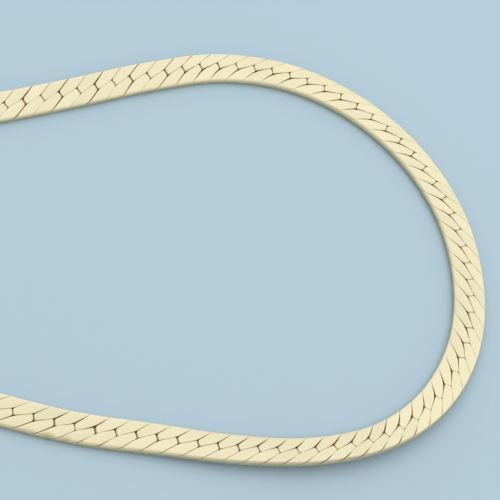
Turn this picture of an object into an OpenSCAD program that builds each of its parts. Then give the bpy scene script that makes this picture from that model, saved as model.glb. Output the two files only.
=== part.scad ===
// Herringbone chain: a flat band of interlocking formed links, closed by a plain clasp.
// It lies on a table, top face up. Millimetres, +Z up, front bend of the loop towards +X.

/* [Band] */
// Width of the flat band
band_w = 5.0; // [4.6:0.1:5.6]
// Thickness of the flat band
band_t = 1.0; // [0.96:0.02:1.2]
// Distance from one link to the next along a straight stretch
link_pitch = 3.11; // [3.0:0.01:3.3]
// Angle between a link's edges and the length of the band
link_angle = 37.3; // [36:0.1:40]

/* [Link] */
// Thickness of the wire that a link is pressed from
wire_t = 0.40; // [0.34:0.01:0.42]
// Open line between neighbouring links
link_gap = 0.20; // [0.18:0.01:0.24]
// How far a link's tip reaches across the band
tip_across = 1.05; // [0.9:0.05:1.2]
// How far a link's tip leans along the band
tip_along = 0.29; // [0.2:0.01:0.36]
// How far the face of a link falls from its middle to its edges
crown = 0.07; // [0.03:0.01:0.09]
// How much narrower the hidden inner face of a link is, on each side
inner_tuck = 0.14; // [0.12:0.01:0.16]
// The same at the fold over the band's edge
fold_tuck = 0.90; // [0.8:0.05:1.0]
// Thickness of a link where it folds over the band's edge
fold_t = 0.45; // [0.4:0.01:0.5]

/* [Clasp] */
// Width of the clasp, along the chain
clasp_w = 6.6; // [6.4:0.1:7.4]
// How far the clasp reaches past the band's outer edges
clasp_side = 1.0; // [0.6:0.1:1.6]
// Thickness of each of its two plates
plate_t = 0.45; // [0.4:0.05:0.6]
// Distance from the plates' front edge to the pins
pin_inset = 1.6; // [1.4:0.1:1.8]
// Diameter of the pins that hold the end links
pin_d = 0.65; // [0.5:0.05:0.7]
// Radius of the clasp's corners
clasp_corner = 1.2; // [0.6:0.1:2]
// Clearance between the plates and the chain
plate_gap = 0.14; // [0.12:0.01:0.2]
// Clearance between the end links' tips and the clasp's back wall
tip_gap = 0.3; // [0.2:0.05:0.4]

/* [Hidden] */

// Route of the band's middle line from the clasp round the front and back, clockwise seen from above.
// Each row is x, y, bank in degrees (outer edge raised) and the share of the lift at the clasp.
// The first and last rows only give the curve its direction at its two ends.
ROUTE = [
    [-156.0, 2.5, 0, 1], [-142.9, 4.5, 0, 1], [-132.0, 6.2, 0, 1], [-120.0, 8.3, 0, 0.8],
    [-108.0, 10.5, 0, 0.4], [-96.0, 12.7, 0, 0.1], [-84.0, 15.0, 0, 0], [-72.0, 17.3, 0, 0],
    [-60.0, 19.7, 0, 0], [-48.0, 22.0, 0, 0], [-35.9, 24.7, 0, 0], [-24.0, 27.8, 0, 0],
    [-12.1, 31.1, 0, 0], [0.3, 33.4, 0, 0], [12.1, 32.1, 0, 0], [22.4, 26.9, 0, 0],
    [30.4, 18.4, 0, 0], [35.1, 7.5, 1, 0], [35.8, -4.5, 2.5, 0], [32.8, -15.9, 7, 0],
    [26.0, -25.5, 14, 0], [16.4, -31.7, 20, 0], [4.8, -34.1, 19, 0], [-7.6, -33.6, 12, 0],
    [-19.8, -31.7, 4.5, 0], [-31.9, -29.7, 0, 0], [-43.5, -26.5, 0, 0], [-55.5, -22.7, 0, 0],
    [-67.5, -19.3, 0, 0], [-79.5, -16.1, 0, 0], [-91.5, -13.2, 0, 0.1], [-103.5, -10.5, 0, 0.4],
    [-115.5, -8.0, 0, 0.8], [-129.0, -5.3, 0, 1], [-143.7, -2.6, 0, 1], [-156.0, -0.5, 0, 1]
];
// The point of the route's plane that the part's origin lies at
loop_mid = [-53.73, -0.40];
// Steps between two rows of the route
route_steps = 12;
// Share of the edge's shortening in a bend that the middle line takes too
bend_share = 0.645;
// How far a pin stands in from the middle of its end link, as a share of the pitch
pin_share = 0.64;
// How far the end links' middles stand in from the ends of the route, in links
end_links = 1.6;

half_w = band_w / 2;
lift = plate_t + plate_gap;

// Links in the band's own coordinates: s along it, n across it, z up.
dir_edge = [cos(link_angle), sin(link_angle)];
tip_left = [-1.5 * link_pitch - tip_along / 2, tip_across / 2];
tip_right = [-1.5 * link_pitch + tip_along / 2, -tip_across / 2];
next_left = tip_left + [link_pitch, 0];
bend_left = tip_left + link_pitch * dir_edge[0] * dir_edge;
edge_left = tip_left + (half_w - tip_left[1]) / dir_edge[1] * dir_edge;
edge_right = edge_left + [link_pitch, 0];

function unit(v) = v / norm(v);
function turned(v) = [-v[1], v[0]];
dir_border = unit(next_left - tip_right);
in_tip = turned(unit(tip_right - tip_left));
in_border = turned(dir_border);
in_right = turned(dir_edge);
in_left = -in_right;
// A corner moved inwards by d from the two lines whose inward directions are a and b
function inset(p, a, b, d) = p + d * (a + b) / (1 + a * b);

// Sections of a link's outer top leg at its tip, its bend and the fold over the edge.
// Each holds the left and right corner of the face and of the hidden inner side.
edge_inset = [link_gap / 2 / dir_edge[1], 0];
deep = link_gap / 2 + inner_tuck;
wall = wire_t - inner_tuck;
leg_plan = [
    [inset(tip_left, in_tip, in_left, link_gap / 2), inset(tip_right, in_tip, in_border, link_gap / 2),
     inset(tip_left, in_tip, in_left, deep) + wall / (dir_edge * in_tip) * dir_edge,
     inset(tip_right, in_tip, in_border, deep) + wall / (dir_border * in_tip) * dir_border],
    [inset(bend_left, in_left, in_left, link_gap / 2), inset(next_left, in_border, in_right, link_gap / 2),
     inset(bend_left, in_left, in_left, deep), inset(next_left, in_border, in_right, deep)],
    [edge_left + edge_inset, edge_right - edge_inset,
     edge_left + edge_inset + [fold_tuck, -fold_t], edge_right - edge_inset - [fold_tuck, fold_t]]
];
function section(c) = [
    [c[0][0], c[0][1], band_t - crown],
    [(c[0][0] + c[1][0]) / 2, (c[0][1] + c[1][1]) / 2, band_t],
    [c[1][0], c[1][1], band_t - crown],
    [c[3][0], c[3][1], band_t - wire_t],
    [c[2][0], c[2][1], band_t - wire_t]
];
// The other three legs are the first one turned about the link's three axes.
function turn_z(q) = [for (p = q) [-p[0], -p[1], p[2]]];
function flip(q, s, n) = [for (k = [2, 1, 0, 4, 3]) [s * q[k][0], n * q[k][1], band_t - q[k][2]]];
top_leg = [for (c = leg_plan) section(c)];
link_sections = concat(
    top_leg,
    [for (k = [2, 1, 0]) flip(top_leg[k], -1, 1)],
    [for (q = top_leg) turn_z(q)],
    [for (k = [2, 1, 0]) flip(top_leg[k], 1, -1)]
);
link_points = [for (q = link_sections) each q];
sides = len(link_sections[0]);
stations = len(link_sections);

// Two triangles for each side of each stretch. The left side of a fold is split the other
// way, so that it runs alongside the right side of the link before.
function split_other(k, j) = j == sides - 1 && (k % 6 == 1 || k % 6 == 2);
link_faces = [
    for (k = [0:stations - 1], j = [0:sides - 1])
        let (a = sides * k + j, b = sides * k + (j + 1) % sides,
             c = sides * ((k + 1) % stations) + j,
             d = sides * ((k + 1) % stations) + (j + 1) % sides)
        each (split_other(k, j) ? [[a, c, b], [b, c, d]] : [[a, d, b], [a, c, d]])
];

// The route as a curve through its rows, with its direction at each point.
function curve(a, b, c, d, t) =
    0.5 * (2 * b + (c - a) * t + (2 * a - 5 * b + 4 * c - d) * t * t + (3 * b - a - 3 * c + d) * t * t * t);
function slope(a, b, c, d, t) =
    0.5 * ((c - a) + 2 * (2 * a - 5 * b + 4 * c - d) * t + 3 * (3 * b - a - 3 * c + d) * t * t);
function plan(v) = [v[0], v[1]];
spans = len(ROUTE) - 3;
knots = spans * route_steps;
function span(i) = min(floor(i / route_steps), spans - 1);
path = [
    for (i = [0:knots])
        let (k = span(i))
        curve(ROUTE[k], ROUTE[k + 1], ROUTE[k + 2], ROUTE[k + 3], i / route_steps - k)
];
heads = [
    for (i = [0:knots])
        let (k = span(i))
        unit(plan(slope(ROUTE[k], ROUTE[k + 1], ROUTE[k + 2], ROUTE[k + 3], i / route_steps - k)))
];
steps = [for (i = [0:knots - 1]) norm(plan(path[i + 1] - path[i]))];
// Curvature of each step, above zero where the band turns the way it travels round the loop
turns = [
    for (i = [0:knots - 1])
        (heads[i][1] * heads[i + 1][0] - heads[i][0] * heads[i + 1][1]) / steps[i]
];
bends = [for (i = [0:knots]) (turns[max(i - 1, 0)] + turns[min(i, knots - 1)]) / 2];
// Links sit closer together in a bend, so the route is counted in links, not in millimetres.
link_steps = [for (i = [0:knots - 1]) steps[i] / link_pitch / (1 - bend_share * half_w * abs(turns[i]))];
counts = [for (i = 0, u = 0; i <= knots; u = u + (i < knots ? link_steps[i] : 0), i = i + 1) u];
route_links = counts[knots];

function table(values) = [for (i = [0:knots]) [counts[i], values[i]]];
x_table = table([for (p = path) p[0] - loop_mid[0]]);
y_table = table([for (p = path) p[1] - loop_mid[1]]);
bank_table = table([for (p = path) p[2]]);
lift_table = table([for (p = path) max(p[3], 0) * lift]);
head_x = table([for (h = heads) h[0]]);
head_y = table([for (h = heads) h[1]]);
bend_table = table(bends);

// A point of the band at u links along it, n across it and z above its lower face
function placed(u, n, z) =
    let (head = unit([lookup(u, head_x), lookup(u, head_y)]),
         bank = lookup(u, bank_table),
         across = n + lookup(u, bend_table) * (half_w * half_w - n * n),
         up = z - band_t / 2,
         out = across * cos(bank) - up * sin(bank),
         mid_z = abs(sin(bank)) * half_w + cos(bank) * band_t / 2 + lookup(u, lift_table))
    [lookup(u, x_table) - head[1] * out, lookup(u, y_table) + head[0] * out,
     mid_z + across * sin(bank) + up * cos(bank)];

// Links fill the route from one pin of the clasp to the other.
link_count = floor(route_links - 2 * end_links);
link_step = (route_links - 2 * end_links) / link_count;
split_link = floor(link_count / 2);
pins = [for (u = [end_links - pin_share, route_links - end_links + pin_share]) plan(placed(u, 0, 0))];

module links(from, to) {
    points = [
        for (i = [from:to], p = link_points)
            placed(end_links + i * link_step + p[0] / link_pitch, p[1], p[2])
    ];
    faces = [for (i = [0:to - from], f = link_faces) [for (v = f) v + i * len(link_points)]];
    polyhedron(points = points, faces = faces, convexity = 10);
}

module chain_left() {
    color("gold") links(0, split_link);
}

module chain_right() {
    color("gold") links(split_link + 1, link_count);
}

// Plain bar across the back of the loop: two plates and a back wall, with a pin for each end link
module clasp() {
    slot_t = band_t + 2 * plate_gap;
    clasp_t = slot_t + 2 * plate_t;
    across = pins[0] - pins[1];
    clasp_l = norm(across) + band_w + 2 * clasp_side;
    tips_x = -(1.5 - pin_share) * link_pitch - tip_gap;
    color("goldenrod")
    translate([(pins[0][0] + pins[1][0]) / 2, (pins[0][1] + pins[1][1]) / 2, 0])
    rotate([0, 0, atan2(across[1], across[0]) - 90]) {
        difference() {
            translate([pin_inset - clasp_w / 2, 0, 0])
                clasp_bar(clasp_l, clasp_t);
            translate([tips_x, -clasp_l, plate_t])
                cube([clasp_w + pin_inset - tips_x, 2 * clasp_l, slot_t]);
        }
        for (side = [-1, 1])
            translate([0, side * norm(across) / 2, plate_t / 2])
                cylinder(d = pin_d, h = clasp_t - plate_t, $fn = 24);
    }
}

module clasp_bar(length, height) {
    linear_extrude(height)
        union() {
            square([clasp_w, length - 2 * clasp_corner], center = true);
            square([clasp_w - 2 * clasp_corner, length], center = true);
            for (x = [-1, 1], y = [-1, 1])
                translate([x * (clasp_w / 2 - clasp_corner), y * (length / 2 - clasp_corner)])
                    circle(r = clasp_corner, $fn = 24);
        }
}

chain_left();
chain_right();
clasp();
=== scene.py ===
"""Herringbone chain: the links in full detail, lit and seen as in the photograph.

Lengths are in millimetres, and MM turns them into the scene's metres. The lights and the floor are in metres.
"""
import math

import bpy
import numpy as np
from mathutils import Matrix, Vector


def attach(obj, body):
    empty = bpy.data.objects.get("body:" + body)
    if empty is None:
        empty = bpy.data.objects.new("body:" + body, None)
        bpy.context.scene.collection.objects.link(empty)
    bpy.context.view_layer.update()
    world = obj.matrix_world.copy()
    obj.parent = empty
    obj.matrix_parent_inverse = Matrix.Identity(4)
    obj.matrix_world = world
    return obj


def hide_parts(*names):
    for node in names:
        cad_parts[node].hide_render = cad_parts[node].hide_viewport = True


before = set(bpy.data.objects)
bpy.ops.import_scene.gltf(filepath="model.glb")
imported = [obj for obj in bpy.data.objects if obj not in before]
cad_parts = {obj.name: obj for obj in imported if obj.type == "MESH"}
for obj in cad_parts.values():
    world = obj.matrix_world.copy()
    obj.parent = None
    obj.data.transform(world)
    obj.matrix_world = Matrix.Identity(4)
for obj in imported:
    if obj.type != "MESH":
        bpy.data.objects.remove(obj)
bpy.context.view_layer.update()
MM = 0.001

# Sizes of the band, the same as in the part's source
BAND_W = 5.0
BAND_T = 1.0
PITCH = 3.11
EDGE_ANGLE = math.radians(37.3)
WIRE_T = 0.40
TIP_ACROSS = 1.05
TIP_ALONG = 0.29
PLATE_T = 0.45
PLATE_GAP = 0.14
HALF_W = BAND_W / 2
# The links' round outer edges end a little further out here, as the photograph shows
EDGE_AT = HALF_W + 0.1

# The band's route, the same rows as in the part's source: x, y, bank in degrees, share of the lift
ROUTE = [
    (-156.0, 2.5, 0, 1), (-142.9, 4.5, 0, 1), (-132.0, 6.2, 0, 1), (-120.0, 8.3, 0, 0.8),
    (-108.0, 10.5, 0, 0.4), (-96.0, 12.7, 0, 0.1), (-84.0, 15.0, 0, 0), (-72.0, 17.3, 0, 0),
    (-60.0, 19.7, 0, 0), (-48.0, 22.0, 0, 0), (-35.9, 24.7, 0, 0), (-24.0, 27.8, 0, 0),
    (-12.1, 31.1, 0, 0), (0.3, 33.4, 0, 0), (12.1, 32.1, 0, 0), (22.4, 26.9, 0, 0),
    (30.4, 18.4, 0, 0), (35.1, 7.5, 1, 0), (35.8, -4.5, 2.5, 0), (32.8, -15.9, 7, 0),
    (26.0, -25.5, 14, 0), (16.4, -31.7, 20, 0), (4.8, -34.1, 19, 0), (-7.6, -33.6, 12, 0),
    (-19.8, -31.7, 4.5, 0), (-31.9, -29.7, 0, 0), (-43.5, -26.5, 0, 0), (-55.5, -22.7, 0, 0),
    (-67.5, -19.3, 0, 0), (-79.5, -16.1, 0, 0), (-91.5, -13.2, 0, 0.1), (-103.5, -10.5, 0, 0.4),
    (-115.5, -8.0, 0, 0.8), (-129.0, -5.3, 0, 1), (-143.7, -2.6, 0, 1), (-156.0, -0.5, 0, 1),
]
LOOP_MID = (-53.73, -0.40)
ROUTE_STEPS = 12
BEND_SHARE = 0.645
END_LINKS = 1.6

# The camera: focal length in pixels of the 500 pixel frame, angles in degrees, and the sensor's width
FRAME_PX = 500
FOCAL_PX = 2700
CAM_ABOVE = 54.8
CAM_ROLL = -32.2
CAM_HEADING = 53.5
CAM_DISTANCE = 413.7
CAM_SENSOR = 36.0
CAM_NEAR = 10

# Soft lights: name, degrees above the horizon and to the right of the far side, distance and width in metres,
# and radiance
LIGHTS = [
    ("far softbox", 46, 0, 1.3, 1.9, 0.28),
    ("right softbox", 36, 42, 1.0, 1.1, 0.48),
    ("left softbox", 36, -42, 1.0, 1.1, 0.48),
]
STUDIO_LIGHT = 0.775
FLOOR_HALF = 1.5
FLOOR_COLOUR = (0.457, 0.598, 0.688)


def route_tables():
    """The route as in the part's source: points, headings and curvature against the count of links."""
    rows = np.array(ROUTE, float)
    points, heads = [], []
    spans = len(rows) - 3
    for i in range(spans * ROUTE_STEPS + 1):
        k = min(i // ROUTE_STEPS, spans - 1)
        t = i / ROUTE_STEPS - k
        a, b, c, d = rows[k:k + 4]
        points.append(0.5 * (2 * b + (c - a) * t + (2 * a - 5 * b + 4 * c - d) * t ** 2
                             + (3 * b - a - 3 * c + d) * t ** 3))
        v = 0.5 * ((c - a) + 2 * (2 * a - 5 * b + 4 * c - d) * t + 3 * (3 * b - a - 3 * c + d) * t ** 2)
        heads.append(v[:2] / np.hypot(v[0], v[1]))
    points, heads = np.array(points), np.array(heads)
    steps = np.hypot(*np.diff(points[:, :2], axis=0).T)
    turns = (heads[:-1, 1] * heads[1:, 0] - heads[:-1, 0] * heads[1:, 1]) / steps
    bends = (np.r_[turns[:1], turns] + np.r_[turns, turns[-1:]]) / 2
    counts = np.r_[0, np.cumsum(steps / PITCH / (1 - BEND_SHARE * HALF_W * np.abs(turns)))]
    return points, heads, bends, counts


POINTS, HEADS, BENDS, COUNTS = route_tables()
LINK_COUNT = int(COUNTS[-1] - 2 * END_LINKS)
LINK_STEP = (COUNTS[-1] - 2 * END_LINKS) / LINK_COUNT
SPLIT_LINK = LINK_COUNT // 2


def placed(u, n, z):
    """Points of the band at u links along it, n across it and z above its lower face."""
    def at(values):
        return np.interp(u, COUNTS, values)

    bank = np.radians(at(POINTS[:, 2]))
    lift = at(np.maximum(POINTS[:, 3], 0)) * (PLATE_T + PLATE_GAP)
    head_x, head_y = at(HEADS[:, 0]), at(HEADS[:, 1])
    size = np.hypot(head_x, head_y)
    across = n + at(BENDS) * (HALF_W ** 2 - n ** 2)
    up = z - BAND_T / 2
    out = across * np.cos(bank) - up * np.sin(bank)
    mid_z = np.abs(np.sin(bank)) * HALF_W + np.cos(bank) * BAND_T / 2 + lift
    return np.stack([
        at(POINTS[:, 0]) - LOOP_MID[0] - head_y / size * out,
        at(POINTS[:, 1]) - LOOP_MID[1] + head_x / size * out,
        mid_z + across * np.sin(bank) + up * np.cos(bank),
    ], -1)


# How open the lines between links are along the band, as the photograph shows: 0 shut, 1 open.
# Rows: link, then the tip's line at its outer and inner end, the border at its inner and outer end,
# the outer line near the tip and at the band's edge, and the inner line near the tip and at the edge.
LINES = [
    (0, 0.8, 0.8, 0.4, 0.3, 0.6, 0.6, 0.7, 0.5),
    (34, 0.8, 0.8, 0.4, 0.3, 0.6, 0.6, 0.7, 0.5),
    (35, 0.9, 1.0, 0.1, 0.1, 0.8, 0.6, 0.7, 0.7),
    (41, 0.9, 1.0, 0.1, 0.1, 0.8, 0.5, 0.8, 0.6),
    (44, 1.0, 1.0, 0.5, 0.1, 0.4, 0.6, 0.7, 0.4),
    (46, 1.0, 0.9, 1.0, 0.1, 0.1, 0.4, 0.8, 0.3),
    (48, 0.9, 0.4, 1.0, 0.1, 0.0, 0.3, 0.7, 0.1),
    (54, 0.9, 0.3, 0.9, 0.1, 0.0, 0.1, 0.7, 0.1),
    (60, 0.8, 0.5, 0.9, 0.1, 0.0, 0.0, 0.6, 0.1),
    (64, 0.7, 0.3, 0.8, 0.1, 0.0, 0.2, 0.6, 0.1),
    (67, 0.4, 0.2, 0.7, 0.1, 0.1, 0.2, 0.5, 0.1),
    (70, 0.4, 0.6, 1.0, 0.0, 0.1, 0.1, 0.6, 0.1),
    (74, 0.1, 0.2, 0.9, 0.0, 0.0, 0.3, 0.7, 0.0),
    (78, 0.2, 0.3, 0.9, 0.0, 0.0, 0.8, 0.8, 0.2),
    (80, 0.2, 0.5, 0.9, 0.0, 0.0, 1.0, 0.9, 0.2),
    (82, 0.4, 0.8, 0.8, 0.0, 0.0, 0.9, 1.0, 0.0),
    (85, 0.6, 0.7, 0.7, 0.0, 0.1, 0.6, 0.9, 0.0),
    (88, 1.0, 0.8, 0.3, 0.4, 0.3, 0.4, 0.8, 0.2),
    (91, 0.9, 1.2, 0.2, 0.3, 0.5, 0.5, 0.5, 0.1),
    (93, 0.8, 1.3, 0.6, 0.0, 0.1, 0.6, 0.5, 0.1),
    (94, 1.2, 1.8, 1.0, 0.0, 0.1, 0.7, 0.7, 0.1),
    (95, 0.5, 0.6, 0.6, 0.0, 0.3, 0.5, 0.8, 0.1),
    (96, 1.3, 0.8, 0.1, 0.7, 0.7, 0.6, 1.0, 0.2),
    (98, 0.6, 0.9, 0.1, 0.6, 0.8, 0.4, 0.2, 0.1),
    (102, 0.8, 0.8, 0.4, 0.3, 0.6, 0.6, 0.7, 0.5),
    (130, 0.8, 0.8, 0.4, 0.3, 0.6, 0.6, 0.7, 0.5),
]
# Painted shade patches on the links' bevelled outer edges: link, place along and across it, half length and
# half width, strength, and whether the patch is tan
SHADE_PATCHES = [
    (93, -1.4, 2.1, 1.1, 0.45, 1.0, True),
    (94, -0.4, 2.2, 0.9, 0.45, 0.9, False),
    (95, -0.9, 2.2, 1.0, 0.45, 1.0, False),
    (96, -1.0, 2.2, 1.0, 0.3, 0.4, False),
]
# Between these links every second line is nearly shut and the others are a little more open. The shares
# are in the order of the table, and PAIR_FIRST is one of the shut ones.
PAIRED = (33, 43)
PAIR_FIRST = 35
PAIR_SHUT = (0.9, 0.6, 1, 1, 0.4, 0.5, 0, 0.3)
PAIR_OPEN = 1.1
# How uneven the lines are from link to link: a wave of this height, with steps for each end and link
UNEVEN = 0.15
UNEVEN_STEPS = (2.1, 4.7)
# Widths of a shut and an open line, and half of what stays open at the bottom of any line
GAP_SHUT = 0.008
GAP_OPEN = 0.17
GAP_DEEP = 0.004
# A line changes from its first width to its last over this stretch of its length
CHANGE_FROM = 0.3
CHANGE_OVER = 0.4
# How far the lines lie ahead of the even count along the band: link, and share of a link
AHEAD = [(33.5, 0.0), (43.5, 0.0), (46.5, 0.07), (67.5, 0.09), (70.5, 0.03), (73.5, -0.01), (76.5, -0.03),
         (79.5, -0.06), (94.5, -0.06), (108.0, 0.0)]
# How open the lines are that the photograph doesn't show
UNDER = 0.8


def strengths(i):
    """How open the eight ends of line i are, in the order of the table."""
    table = np.array(LINES, float)
    w = np.array([np.interp(i, table[:, 0], column) for column in table[:, 1:].T])
    w *= 1 + UNEVEN * np.sin(np.arange(len(w)) * UNEVEN_STEPS[0] + i * UNEVEN_STEPS[1])
    if PAIRED[0] <= i <= PAIRED[1]:
        if (i - PAIR_FIRST) % 2 == 0:
            w *= PAIR_SHUT
        else:
            w[4:] *= PAIR_OPEN
    return w


def gap(strength):
    """The width of a line that is open by so much."""
    return GAP_SHUT + (GAP_OPEN - GAP_SHUT) * strength


def along_line(v, ends):
    """How open a line is at v of its length: it changes in its middle part."""
    return ends[0] + (ends[1] - ends[0]) * np.clip((v - CHANGE_FROM) / CHANGE_OVER, 0, 1)


def corner(p, na, ea, nb, eb):
    """The point ea inside the line through p facing na, and eb inside the one facing nb."""
    return p + np.linalg.solve(np.array([na, nb]), np.array([ea, eb]))


# Corners and directions of a link's outer top leg, in the band's own coordinates as in the part's source
DIR_EDGE = np.array([math.cos(EDGE_ANGLE), math.sin(EDGE_ANGLE)])
TIP_LEFT = np.array([-1.5 * PITCH - TIP_ALONG / 2, TIP_ACROSS / 2])
TIP_RIGHT = np.array([-1.5 * PITCH + TIP_ALONG / 2, -TIP_ACROSS / 2])
NEXT_LEFT = TIP_LEFT + (PITCH, 0)
EDGE_LEFT = TIP_LEFT + (EDGE_AT - TIP_LEFT[1]) / DIR_EDGE[1] * DIR_EDGE
EDGE_RIGHT = EDGE_LEFT + (PITCH, 0)


def turned(v):
    """A direction turned left by a right angle."""
    return np.array([-v[1], v[0]])


def unit(v):
    """A vector's direction."""
    return v / np.linalg.norm(v)


DIR_BORDER = unit(NEXT_LEFT - TIP_RIGHT)
IN_TIP = turned(unit(TIP_RIGHT - TIP_LEFT))
IN_BORDER = turned(DIR_BORDER)
IN_RIGHT = turned(DIR_EDGE)
IN_LEFT = -IN_RIGHT
LEAN = -EDGE_LEFT[0] - EDGE_RIGHT[0]  # how far the fold's lines lean along the band from face to face

# Roundings of a link. The tip's edge and the left corner get rounder where the lines are open, and then the
# edge gets more painted shade, for the shade in the open line, and lies a little deeper.
TIP_ROUND = 0.13
TIP_LEAST = 0.15
TIP_DROP = 0.02
TIP_PAINTED_SHADE = 0.9
EDGE_ROUND = 0.34
CORNER_LEFT = 0.34
CORNER_MORE = 0.15
CORNER_MOST = 1.1
CORNER_RIGHT = 0.14
CROWN = 0.025
# The hidden inner side, tucked in a little more than in the part's source and a little thinner at the fold,
# the share of the leg where the tuck is full, and the shares of the fold where its inner side turns
INNER_TUCK = 0.22
FOLD_TUCK = 0.96
FOLD_T = 0.42
TUCK_FULL_AT = 0.25
KNEE_LEFT = 0.5
KNEE_RIGHT = 0.75
# The tip's riser: the share of the corners that is off its middle, and half the width of its inner side
RISER_CORNER = 0.8
RISER_HALF = 0.2
# Stations along a leg, as shares of its length: its face up to the bend of its right side, and then its fold
BEND_AT = 0.76
FACE_AT = (0.075, 0.13, 0.25, 0.42, 0.6, BEND_AT)
FOLD_AT = (0.16, 0.34, 0.5, 0.62, 0.72, 0.79, 0.84, 0.88, 0.93, 1.0)
# Degrees of the tip's rounding at which it has a station
TIP_TURNS = (30, 60, 90)
# Offsets from a side line, depths below the face and painted shade of a link's rounded long edges; the first
# lies at the bottom of the line, where the neighbour's edge comes up to it. They shrink where a line is shut.
SIDE_ROUND = [
    (0.0, 0.12, 1.0), (0.004, 0.065, 0.9), (0.025, 0.032, 0.35), (0.07, 0.011, 0.06), (0.13, 0.003, 0.0),
]
SIDE_LEAST = 0.12
# Where the face has points between its two rounded edges
ACROSS = (0.22, 0.36, 0.5, 0.64, 0.78)
SIDE_TO_SIDE = (0,) * len(SIDE_ROUND) + ACROSS + (1,) * len(SIDE_ROUND)

# The face goes on round the band's edge: m is the way across it, measured along the surface
M_ROUND = EDGE_AT - EDGE_ROUND
M_SIDE = M_ROUND + EDGE_ROUND * math.pi / 2
M_END = M_SIDE + BAND_T / 2 - EDGE_ROUND


def surface(m):
    """Across, up and outward direction of the band's face and edge at m."""
    a = np.clip((m - M_ROUND) / EDGE_ROUND, 0, math.pi / 2)
    n = np.minimum(m, M_ROUND) + EDGE_ROUND * np.sin(a)
    z = BAND_T - EDGE_ROUND * (1 - np.cos(a)) - np.maximum(m - M_SIDE, 0)
    return n, z, np.sin(a), np.cos(a)


def line_shift(m):
    """How far along the band a line between links has run at m, from where it meets the edge."""
    n, z, _, _ = surface(m)
    return (n - EDGE_AT) / math.tan(EDGE_ANGLE) + LEAN * (BAND_T - z) / BAND_T


def rounded(x, radius):
    """How far a rounded corner's side stands in at x from the corner."""
    return radius - math.sqrt(max(radius ** 2 - (radius - min(x, radius)) ** 2, 0))


def section(l, r, left_s, right_s, reach_l=0, reach_r=0):
    """Plan points, depths and painted shade across a link's face from its left to its right side line, with
    how far beyond each the bottom of the line lies."""
    across = r - l
    side = unit(across)
    rows = []
    for start, step, strength, reach in ((l, side, left_s, reach_l), (r, -side, right_s, reach_r)):
        scale = SIDE_LEAST + (1 - SIDE_LEAST) * min(strength, 1)
        offsets = [-reach] + [q[0] * scale for q in SIDE_ROUND[1:]]
        rows.append([(*(start + step * x), q[1] * scale, q[2] * min(strength, 1))
                     for x, q in zip(offsets, SIDE_ROUND)])
    face = [(*(l + across * w), CROWN * (2 * w - 1) ** 2, 0) for w in ACROSS]
    return np.array(rows[0] + face + rows[1][::-1])


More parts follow.
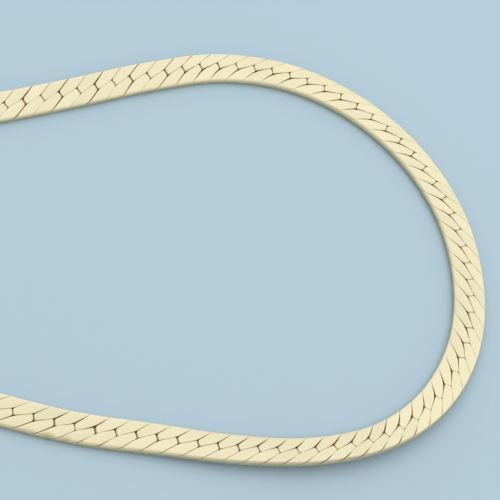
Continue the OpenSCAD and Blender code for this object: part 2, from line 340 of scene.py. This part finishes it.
def quarter(tip_s, border_s, left_s, right_s):
    """Stations of one leg, from the middle of its tip's riser to the middle of its fold."""
    tip = gap(sum(tip_s) / 2) / 2
    tip_l = corner(TIP_LEFT, IN_TIP, gap(tip_s[0]) / 2, IN_LEFT, gap(left_s[0]) / 2)
    tip_r = corner(TIP_RIGHT, IN_TIP, gap(tip_s[1]) / 2, IN_BORDER, gap(border_s[0]) / 2)
    bend_r = corner(NEXT_LEFT, IN_BORDER, gap(border_s[1]) / 2, IN_RIGHT, gap(right_s[0]) / 2)
    edge_l = EDGE_LEFT[0] + gap(left_s[1]) / 2 / DIR_EDGE[1]
    edge_r = EDGE_RIGHT[0] - gap(right_s[1]) / 2 / DIR_EDGE[1]
    far_l = np.array([edge_l, EDGE_AT])
    length = np.linalg.norm(far_l - tip_l)
    border = np.linalg.norm(bend_r - tip_r)
    corner_l = CORNER_LEFT * min(max(tip_s[0], left_s[0]) + CORNER_MORE, CORNER_MOST)
    tip_at = np.clip(np.interp(SIDE_TO_SIDE, (0, 1), tip_s), 0, 1)
    tip_round = TIP_ROUND * (TIP_LEAST + (1 - TIP_LEAST) * tip_at)
    rings = []

    def left(v):
        even = left_s[0] + v * (left_s[1] - left_s[0])
        return tip_l + v * (far_l - tip_l) + IN_LEFT * (gap(along_line(v, left_s)) - gap(even)) / 2

    def right(v):
        return tip_r + v / BEND_AT * (bend_r - tip_r)

    # Each station's hidden inner points get full painted shade.
    def add(points, painted_shade, inner):
        rings.append((np.concatenate([points, inner]), np.concatenate([painted_shade, np.ones(3)])))

    def across_inner(l, r):
        return np.array([r, (l + r) / 2, l])

    def inner_face(l, r):
        return across_inner(np.array([*l, BAND_T - WIRE_T]), np.array([*r, BAND_T - WIRE_T]))

    # the tip: the middle of the riser, then the rounding up to the face
    deep_l = tip_l + WIRE_T / (DIR_EDGE @ IN_TIP) * DIR_EDGE + IN_LEFT * INNER_TUCK
    deep_r = tip_r + WIRE_T / (DIR_BORDER @ IN_TIP) * DIR_BORDER + IN_BORDER * INNER_TUCK
    mid = -1.5 * PITCH + tip
    mid_l = np.array([mid, tip_l[1] - corner_l * RISER_CORNER])
    mid_r = np.array([mid, tip_r[1] + CORNER_RIGHT * RISER_CORNER])
    rows = section(mid_l, mid_r, 1, 1)
    riser = np.stack([rows[:, 0] + rows[:, 2], rows[:, 1], np.full(len(rows), BAND_T / 2)], -1)
    # The riser, deep in the tip's line, gets full painted shade.
    add(riser, np.ones(len(rows)), across_inner(np.array([mid + WIRE_T, RISER_HALF, BAND_T / 2]),
                                                np.array([mid + WIRE_T, -RISER_HALF, BAND_T / 2])))
    deep = inner_face(deep_l, deep_r)
    low_l = corner(TIP_LEFT, IN_TIP, GAP_DEEP, IN_LEFT, GAP_DEEP)
    low_r = corner(TIP_RIGHT, IN_TIP, GAP_DEEP, IN_BORDER, GAP_DEEP)
    rows = section(low_l, low_r, 0, 0)
    # The tip's rounding gets painted shade where the tip's line is open.
    add(np.stack([rows[:, 0], rows[:, 1], BAND_T - tip_round - TIP_DROP * tip_at], -1),
        1 - TIP_PAINTED_SHADE + TIP_PAINTED_SHADE * tip_at, deep)

    def leg(x_l, x_r, z, down, along, painted_shade=0.0):
        """A station of the leg at x from its tip's line: rounded corners, and the lines' bottoms beside it.

        Its rounded sides go down and along the band by so much of their depth.
        """
        l = left(x_l / (DIR_EDGE @ IN_TIP) / length)
        r = right(x_r / (DIR_BORDER @ IN_TIP) / border * BEND_AT)
        side = unit(r - l)
        in_l, in_r = rounded(x_l, corner_l), rounded(x_r, CORNER_RIGHT)
        v_l, v_r = np.linalg.norm(l - tip_l) / length, np.linalg.norm(r - tip_r) / border
        left_v, right_v = along_line(v_l, left_s), np.interp(v_r, (0, 1), border_s)
        reach_l = (gap(left_v) / 2 - GAP_DEEP) / (side @ IN_LEFT) + in_l
        reach_r = (gap(right_v) / 2 - GAP_DEEP) / (-side @ IN_BORDER) + in_r
        rows = section(l + side * in_l, r - side * in_r, left_v, right_v, reach_l, reach_r)
        points = np.stack([rows[:, 0] + along * rows[:, 2], rows[:, 1], z - down * rows[:, 2]], -1)
        return l, r, points, np.maximum(rows[:, 3], painted_shade)

    for angle in TIP_TURNS:
        a = math.radians(angle)
        z = BAND_T - tip_round * (1 - math.sin(a))
        x = tip_round * (1 - math.cos(a))
        # Painted shade on the tip's rounding, more where it turns down into the line.
        tip_painted_shade = TIP_PAINTED_SHADE * (1 - math.sin(a)) * tip_at
        _, _, points, painted_shade = leg(x[0], x[-1], z, math.sin(a), math.cos(a), tip_painted_shade)
        add(points, painted_shade, deep)
    # the leg's face, up to the bend of its right side
    for v in FACE_AT:
        x = v * length * (DIR_EDGE @ IN_TIP)
        l, r, points, painted_shade = leg(x, x, BAND_T, 1, 0)
        l_in, r_in = l + IN_LEFT * INNER_TUCK, r + IN_BORDER * INNER_TUCK
        if v < TUCK_FULL_AT:
            reach = v / TUCK_FULL_AT
            l_in = deep_l + reach * (left(TUCK_FULL_AT) + IN_LEFT * INNER_TUCK - deep_l)
            r_in = deep_r + reach * (right(TUCK_FULL_AT) + IN_BORDER * INNER_TUCK - deep_r)
        add(points, painted_shade, inner_face(l_in, r_in))
    # the fold: laid out flat with its side lines upright, then wrapped round the band's edge
    start_l, start_r = left(BEND_AT), right(BEND_AT)
    n_in = EDGE_AT - FOLD_T
    path_l = np.array([
        [*(start_l + IN_LEFT * INNER_TUCK), BAND_T - WIRE_T],
        [EDGE_LEFT[0] + FOLD_TUCK, n_in, BAND_T - WIRE_T],
        [FOLD_TUCK - PITCH / 2, n_in, BAND_T / 2],
    ])
    path_r = np.array([
        [*(start_r + IN_RIGHT * INNER_TUCK), BAND_T - WIRE_T],
        [EDGE_RIGHT[0] - FOLD_TUCK, n_in, BAND_T - WIRE_T],
        [PITCH / 2 - FOLD_TUCK, n_in, BAND_T / 2],
    ])
    for f in FOLD_AT:
        v = BEND_AT + (1 - BEND_AT) * f
        m_l, m_r = start_l[1] + (M_END - start_l[1]) * f, start_r[1] + (M_END - start_r[1]) * f
        flat_l = start_l[0] - line_shift(start_l[1])
        flat_r = start_r[0] - line_shift(start_r[1])
        right_v = along_line(f, right_s)
        even = right_s[0] + f * (right_s[1] - right_s[0])
        x_l = flat_l + (edge_l - flat_l) * f
        x_r = flat_r + (edge_r - flat_r) * f - (gap(right_v) - gap(even)) / 2 / DIR_EDGE[1]
        rows = section(np.array([x_l, m_l]), np.array([x_r, m_r]), along_line(v, left_s), right_v,
                       x_l - EDGE_LEFT[0] - GAP_DEEP, EDGE_RIGHT[0] - x_r - GAP_DEEP)
        n, z, out_n, out_z = surface(rows[:, 1])
        along = rows[:, 0] + line_shift(rows[:, 1])
        points = np.stack([along, n - out_n * rows[:, 2], z - out_z * rows[:, 2]], -1)
        l_in = [np.interp(f, (0, KNEE_LEFT, 1), path_l[:, c]) for c in range(3)]
        r_in = [np.interp(f, (0, KNEE_RIGHT, 1), path_r[:, c]) for c in range(3)]
        add(points, rows[:, 3], across_inner(np.array(l_in), np.array(r_in)))
    return rings


def flipped(ring, kind):
    """A section turned about one of the link's axes; two of the turns swap left and right."""
    points, painted_shade = ring
    p = points.copy()
    if kind == "z":
        p[:, 0] *= -1
        p[:, 1] *= -1
        return p, painted_shade
    if kind == "n":
        p[:, 0] *= -1
    else:
        p[:, 1] *= -1
    p[:, 2] = BAND_T - p[:, 2]
    face = 2 * len(SIDE_ROUND) + len(ACROSS)
    order = list(range(face))[::-1] + list(range(face, len(p)))[::-1]
    return p[order], painted_shade[order]


def link_rings(i):
    """All sections of link i, going round it once."""
    here, after = strengths(i), strengths(i + 1)
    ahead, before = strengths(i + 3), strengths(i + 2)
    hidden = (UNDER, UNDER)
    top = quarter(here[0:2], here[2:4], here[4:6], after[4:6])
    front = quarter(ahead[1::-1], before[3:1:-1], ahead[6:8], before[6:8])
    left_under = quarter(ahead[1::-1], hidden, (UNDER, after[5]), (UNDER, here[5]))
    right_under = quarter(here[0:2], hidden, (UNDER, before[7]), (UNDER, ahead[7]))
    out = top[:]
    out += [flipped(q, "n") for q in left_under[-2:0:-1]]
    out += [flipped(q, "z") for q in front]
    out += [flipped(q, "s") for q in right_under[-2:0:-1]]
    return out


def shade_patch(i, points, tan):
    """How strongly the points of link i get painted shade patches, on the band's upper face and outer edge.
    """
    out = np.zeros(len(points))
    for link, along, across, half_l, half_w, strength, is_tan in SHADE_PATCHES:
        if link == i and is_tan == tan:
            far = ((points[:, 0] - along) / half_l) ** 2 + ((points[:, 1] - across) / half_w) ** 2
            out = np.maximum(out, strength * np.exp(-far ** 2) * (points[:, 2] > BAND_T / 2))
    return out


# How much the links tilt at random, as a slope, and the seed of all that is random
LINK_TILT = 0.0018
SEED = 7


def chain_mesh(name, first, last, rng):
    """One mesh of the links from first to last, each tilted at random by a little."""
    points, faces = [], []
    layers = {"painted_shade": [], "tone": [], "tan": [], "olive": []}
    for i in range(first, last + 1):
        rings = link_rings(i)
        count = len(rings[0][0])
        base = sum(len(p) for p in points)
        ring_points = np.concatenate([q[0] for q in rings])
        # Painted shade patches, tan and olive, on the outer edges of a few links.
        layers["tan"].append(shade_patch(i, ring_points, True))
        layers["olive"].append(shade_patch(i, ring_points, False))
        tilt = rng.normal(0, LINK_TILT, 2)
        ring_points[:, 2] += tilt[0] * ring_points[:, 0] + tilt[1] * ring_points[:, 1]
        ring_points[:, 2] -= min(ring_points[:, 2].min(), 0)
        at = i + ring_points[:, 0] / PITCH
        at += np.interp(at, *np.transpose(AHEAD))
        points.append(placed(END_LINKS + at * LINK_STEP, ring_points[:, 1], ring_points[:, 2]))
        # Painted shade of the points, deep in the lines between links.
        layers["painted_shade"].append(np.concatenate([q[1] for q in rings]))
        layers["tone"].append(np.full(len(ring_points), rng.random()))
        for k in range(len(rings)):
            after = (k + 1) % len(rings)
            for j in range(count):
                faces.append((base + k * count + j, base + after * count + j,
                              base + after * count + (j + 1) % count, base + k * count + (j + 1) % count))
    mesh = bpy.data.meshes.new(name)
    mesh.from_pydata((np.concatenate(points) * MM).tolist(), [], faces)
    mesh.update()
    for label, values in layers.items():
        layer = mesh.attributes.new(label, "FLOAT", "POINT")
        layer.data.foreach_set("value", np.concatenate(values).astype(np.float32))
    mesh.polygons.foreach_set("use_smooth", [True] * len(faces))
    thing = bpy.data.objects.new(name, mesh)
    bpy.context.collection.objects.link(thing)
    return thing


# The metal: its colours, the noise in its tone and polish, and how much the tone varies from link to link
GOLD_BASE = (0.685, 0.628, 0.435)
# The colour of the painted shade mixed into the gold deep in the lines between the links, where shade falls.
GOLD_PAINTED_SHADE = (0.48, 0.34, 0.11)
# Colours of the painted shade patches on the links' bevelled outer edges, tan and olive.
SHADE_PATCH_TAN = (0.72, 0.62, 0.36)
SHADE_PATCH_OLIVE = (0.52, 0.47, 0.28)
LINKS_ROUGH = 0.42
CLASP_ROUGH = 0.3
ROUGH_SWING = 0.06
FINE_NOISE = (3500, 6)
BROAD_NOISE = (90, 3)
TONE_SHARE = 0.5
TONE_LOW = 0.93
TONE_FROM = 0.35
TONE_TO = 1.0
BUMP_STRENGTH = 0.3
BUMP_HEIGHT = 0.012


def attribute(nodes, name):
    """A value that is stored at the links' points, and is 0 elsewhere."""
    node = nodes.new("ShaderNodeAttribute")
    node.attribute_name = name
    return node.outputs["Fac"]


def noise(nodes, links, where, kind):
    """Noise over the object, of a scale and a detail."""
    node = nodes.new("ShaderNodeTexNoise")
    node.inputs["Scale"].default_value, node.inputs["Detail"].default_value = kind
    links.new(where, node.inputs["Vector"])
    return node.outputs["Fac"]


def blended(nodes, links, factor, colour, tint):
    """The colour, mixed with a tint by a factor."""
    mix = nodes.new("ShaderNodeMix")
    mix.data_type = "RGBA"
    links.new(factor, mix.inputs["Factor"])
    links.new(colour, mix.inputs["A"])
    mix.inputs["B"].default_value = (*tint, 1)
    return mix.outputs["Result"]


def gold(name, roughness):
    """Pale satin gold, with painted shade patches in places and painted shade where it lies deep between the
    links.
    """
    mat = bpy.data.materials.new(name)
    mat.use_nodes = True
    nodes, links = mat.node_tree.nodes, mat.node_tree.links
    shader = nodes["Principled BSDF"]
    shader.inputs["Metallic"].default_value = 1.0
    where = nodes.new("ShaderNodeTexCoord").outputs["Object"]
    fine = noise(nodes, links, where, FINE_NOISE)
    tone = nodes.new("ShaderNodeMath")
    tone.operation = "MULTIPLY_ADD"
    links.new(attribute(nodes, "tone"), tone.inputs[0])
    tone.inputs[1].default_value = TONE_SHARE
    links.new(noise(nodes, links, where, BROAD_NOISE), tone.inputs[2])
    ramp = nodes.new("ShaderNodeValToRGB")
    ramp.color_ramp.elements[0].position = TONE_FROM
    ramp.color_ramp.elements[0].color = (*[c * TONE_LOW for c in GOLD_BASE], 1)
    ramp.color_ramp.elements[1].position = TONE_TO
    ramp.color_ramp.elements[1].color = (*GOLD_BASE, 1)
    links.new(tone.outputs[0], ramp.inputs["Fac"])
    colour = ramp.outputs["Color"]
    # The tan and olive painted shade patches on the links' bevelled outer edges.
    for label, tint in (("tan", SHADE_PATCH_TAN), ("olive", SHADE_PATCH_OLIVE)):
        colour = blended(nodes, links, attribute(nodes, label), colour, tint)
    # Painted shade: the gold turns to the dark colour where the links lie deep in the lines between them.
    deep = nodes.new("ShaderNodeMapRange")
    links.new(attribute(nodes, "painted_shade"), deep.inputs["Value"])
    colour = blended(nodes, links, deep.outputs["Result"], colour, GOLD_PAINTED_SHADE)
    links.new(colour, shader.inputs["Base Color"])
    rough = nodes.new("ShaderNodeMapRange")
    rough.inputs["To Min"].default_value = roughness - ROUGH_SWING
    rough.inputs["To Max"].default_value = roughness + ROUGH_SWING
    links.new(fine, rough.inputs["Value"])
    links.new(rough.outputs["Result"], shader.inputs["Roughness"])
    bump = nodes.new("ShaderNodeBump")
    bump.inputs["Strength"].default_value = BUMP_STRENGTH
    bump.inputs["Distance"].default_value = BUMP_HEIGHT * MM
    links.new(fine, bump.inputs["Height"])
    links.new(bump.outputs["Normal"], shader.inputs["Normal"])
    return mat


def add_chain():
    """The two halves of the chain, in place of the CAD's plainer links."""
    rng = np.random.default_rng(SEED)
    mat = gold("gold links", LINKS_ROUGH)
    for name, node, first, last in (("links_left", "chain_left", 0, SPLIT_LINK),
                                    ("links_right", "chain_right", SPLIT_LINK + 1, LINK_COUNT)):
        piece = chain_mesh(name, first, last, rng)
        piece.data.materials.append(mat)
        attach(piece, "root")
        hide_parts(node)


def add_clasp():
    """The clasp keeps its CAD shape and gets the metal."""
    mat = gold("gold clasp", CLASP_ROUGH)
    for slot in bpy.data.objects["clasp"].material_slots:
        slot.material = mat


def add_floor():
    mesh = bpy.data.meshes.new("floor")
    corners = [(x * FLOOR_HALF, y * FLOOR_HALF, 0) for x, y in ((-1, -1), (1, -1), (1, 1), (-1, 1))]
    mesh.from_pydata(corners, [], [(0, 1, 2, 3)])
    floor = bpy.data.objects.new("floor", mesh)
    bpy.context.collection.objects.link(floor)
    mat = bpy.data.materials.new("pale floor")
    mat.use_nodes = True
    shader = mat.node_tree.nodes["Principled BSDF"]
    shader.inputs["Base Color"].default_value = (*FLOOR_COLOUR, 1)
    shader.inputs["Roughness"].default_value = 0.95
    shader.inputs["Specular IOR Level"].default_value = 0.1
    floor.data.materials.append(mat)


def camera_axes():
    """The camera's right, up and back directions in the part's frame."""
    above, roll = math.radians(CAM_ABOVE), math.radians(CAM_ROLL)
    heading = math.radians(CAM_HEADING)
    flat = Vector((math.cos(heading), math.sin(heading), 0))
    right0 = Vector((math.sin(heading), -math.cos(heading), 0))
    forward = flat * math.cos(above) - Vector((0, 0, math.sin(above)))
    up0 = flat * math.sin(above) + Vector((0, 0, math.cos(above)))
    right = right0 * math.cos(roll) - up0 * math.sin(roll)
    up = right0 * math.sin(roll) + up0 * math.cos(roll)
    return right, up, -forward


def add_camera():
    right, up, back = camera_axes()
    target = Vector((-LOOP_MID[0], -LOOP_MID[1], BAND_T)) * MM
    data = bpy.data.cameras.new("camera")
    data.sensor_width = CAM_SENSOR
    data.sensor_fit = "HORIZONTAL"
    data.lens = CAM_SENSOR * FOCAL_PX / FRAME_PX
    data.clip_start = CAM_NEAR * MM
    camera = bpy.data.objects.new("camera", data)
    bpy.context.collection.objects.link(camera)
    spin = Matrix((right, up, back)).transposed().to_4x4()
    camera.matrix_world = Matrix.Translation(target + back * CAM_DISTANCE * MM) @ spin
    bpy.context.scene.camera = camera


def add_light(name, above, aside, distance, size, radiance):
    """A square soft light, as seen from the part."""
    data = bpy.data.lights.new(name, "AREA")
    data.shape = "SQUARE"
    data.size = size
    data.energy = radiance * math.pi * size ** 2
    lamp = bpy.data.objects.new(name, data)
    bpy.context.collection.objects.link(lamp)
    turn, rise = math.radians(CAM_HEADING - aside), math.radians(above)
    toward = Vector((math.cos(turn) * math.cos(rise), math.sin(turn) * math.cos(rise), math.sin(rise)))
    lamp.location = Vector((-LOOP_MID[0] * MM, 0, 0)) + toward * distance
    lamp.rotation_euler = toward.to_track_quat("Z", "Y").to_euler()


def add_lights():
    for light in LIGHTS:
        add_light(*light)
    world = bpy.data.worlds.new("studio")
    bpy.context.scene.world = world
    world.use_nodes = True
    backdrop = world.node_tree.nodes["Background"]
    backdrop.inputs["Color"].default_value = (1, 1, 1, 1)
    backdrop.inputs["Strength"].default_value = STUDIO_LIGHT


bpy.context.scene.view_settings.view_transform = "Standard"
add_camera()
add_chain()
add_clasp()
add_floor()
add_lights()
